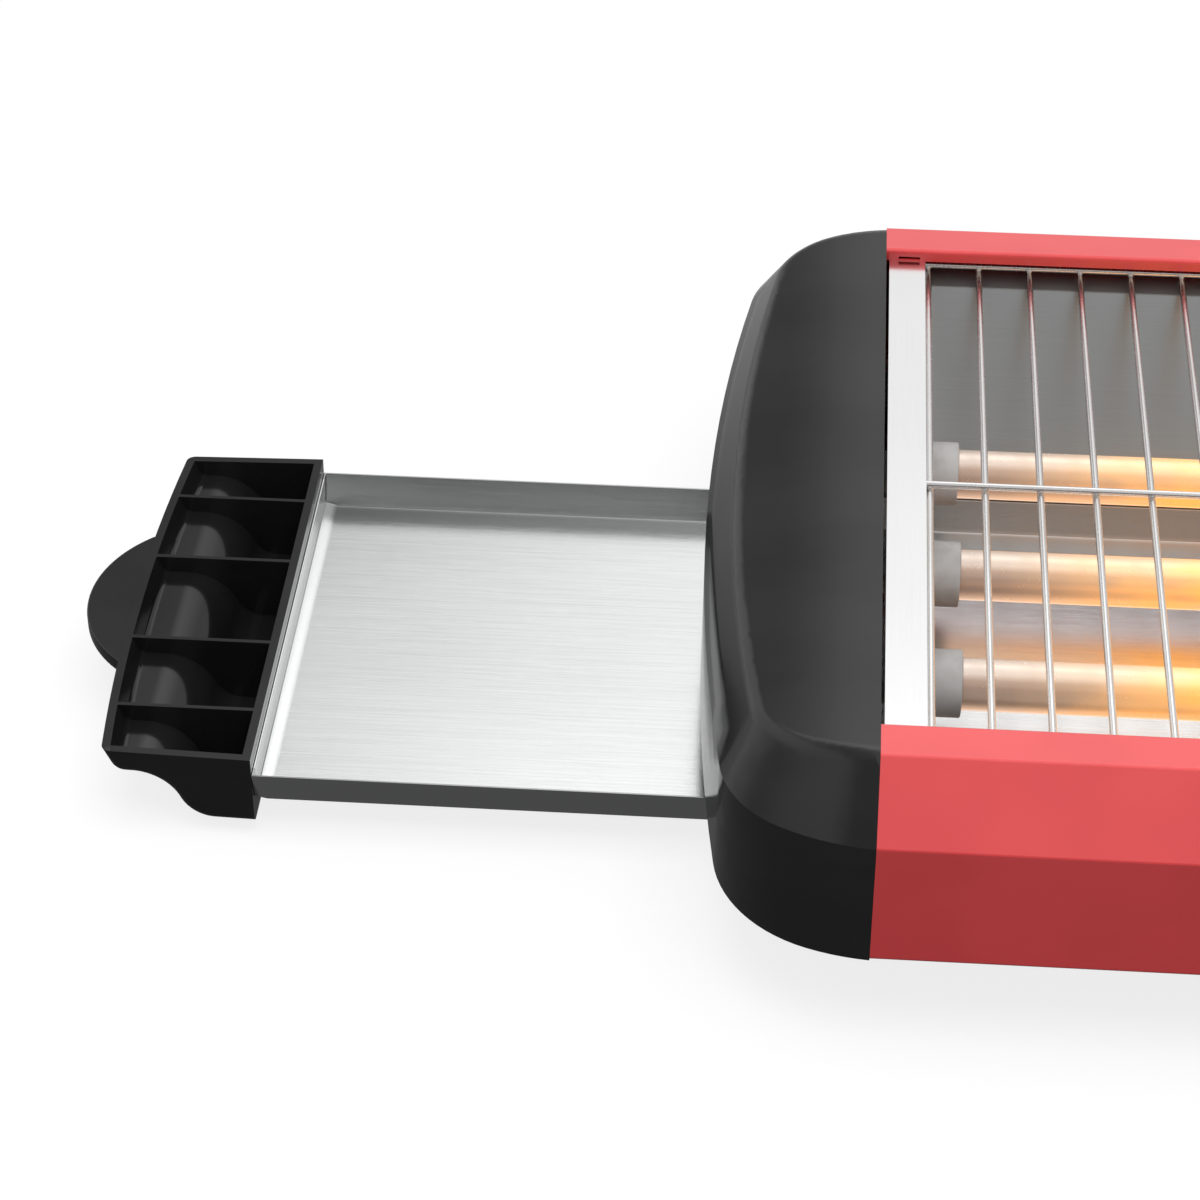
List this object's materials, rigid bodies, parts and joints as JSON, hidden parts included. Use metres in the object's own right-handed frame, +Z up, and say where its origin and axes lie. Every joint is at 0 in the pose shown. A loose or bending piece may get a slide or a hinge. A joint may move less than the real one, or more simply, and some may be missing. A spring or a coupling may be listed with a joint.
{
  "type": "horizontal toaster",
  "caption": "Flat toaster with a painted steel casing, plastic end caps, a wire rack over quartz heating tubes, turning controls and a sliding crumb tray.",
  "frame": {"origin": "on the worktop plane under the feet, at the middle of the whole part's length and depth with the crumb tray drawn out as pictured; the casing's own middle lies about 69 mm towards +X", "axes": "+X along the casing, away from the crumb tray's handle and towards the controls; +Y from the front shell to the back shell; +Z up"},
  "size_m": [0.511, 0.22, 0.0794],
  "materials": {
    "painted_shell": "semi-gloss red paint on sheet steel",
    "cap_plastic": "satin black moulding",
    "handle_plastic": "satin black moulding",
    "leg_plastic": "matt black moulding",
    "stainless": "bright stainless sheet",
    "tray_steel": "stainless sheet brushed along its length",
    "pan_steel": "plain zinc-coated sheet",
    "rack_chrome": "bright plated wire",
    "quartz": "frosted quartz glass",
    "heating_wire": "resistance wire winding",
    "ceramic": "matt white ceramic",
    "terminal_brass": "stamped strip",
    "screw_steel": "zinc-plated steel",
    "pad_rubber": "soft black rubber",
    "knob_plastic": "satin black moulding",
    "dial_plate": "printed black plate",
    "switch_body": "moulded case",
    "lens_red": "tinted lens",
    "lamp_glass": "clear bulb"
  },
  "bodies": {
    "casing": {"front_shell": "painted_shell", "back_shell": "painted_shell", "left_end_cap": "cap_plastic", "right_end_cap": "cap_plastic", "left_bottom_cover": "cap_plastic", "right_bottom_cover": "cap_plastic", "left_end_plate": "stainless", "right_end_plate": "stainless", "front_reflector": "stainless", "back_reflector": "stainless", "base_pan": "pan_steel", "wire_rack": "rack_chrome", "left_bus_bar": "terminal_brass", "outer_bus_bar": "terminal_brass", "middle_terminal": "terminal_brass", "thermal_cutout": "screw_steel", "left_terminal_nuts": "screw_steel", "right_terminal_nuts": "screw_steel", "timer_case": "switch_body", "switch_case": "switch_body", "timer_dial": "dial_plate", "selector_dial": "dial_plate", "pilot_lens": "lens_red", "pilot_lamp": "lamp_glass", "terminal_block": "switch_body", "cord_inlet": "pad_rubber", "left_cap_screws": "screw_steel", "right_cap_screws": "screw_steel", "left_cover_screws": "screw_steel", "right_cover_screws": "screw_steel", "shell_screws": "screw_steel", "leg_screws": "screw_steel", "control_screws": "screw_steel", "quartz_tube_front": "quartz", "heating_coil_front": "heating_wire", "left_ceramic_front": "ceramic", "right_ceramic_front": "ceramic", "quartz_tube_middle": "quartz", "heating_coil_middle": "heating_wire", "left_ceramic_middle": "ceramic", "right_ceramic_middle": "ceramic", "quartz_tube_back": "quartz", "heating_coil_back": "heating_wire", "left_ceramic_back": "ceramic", "right_ceramic_back": "ceramic", "leg_left_front": "leg_plastic", "foot_pad_left_front": "pad_rubber", "leg_left_back": "leg_plastic", "foot_pad_left_back": "pad_rubber", "leg_right_front": "leg_plastic", "foot_pad_right_front": "pad_rubber", "leg_right_back": "leg_plastic", "foot_pad_right_back": "pad_rubber"},
    "tray_unit": {"crumb_tray": "tray_steel", "tray_handle": "handle_plastic"},
    "timer_control": {"timer_knob": "knob_plastic", "timer_shaft": "screw_steel"},
    "selector_control": {"selector_knob": "knob_plastic", "selector_shaft": "screw_steel"}
  },
  "joints": [
    {"name": "tray_slide", "type": "slide", "parent": "casing", "child": "tray_unit", "axis": [1, 0, 0], "range_m": [-0.11, 0.1266]},
    {"name": "timer_turn", "type": "hinge", "parent": "casing", "child": "timer_control", "pos_m": [0.22055, -0.046, 0.062], "axis": [0, 0, -1], "range_deg": [0, 300], "stiffness_Nm_per_rad": 0.002},
    {"name": "selector_turn", "type": "hinge", "parent": "casing", "child": "selector_control", "pos_m": [0.22055, 0.046, 0.062], "axis": [0, 0, -1], "range_deg": [0, 180]}
  ]
}
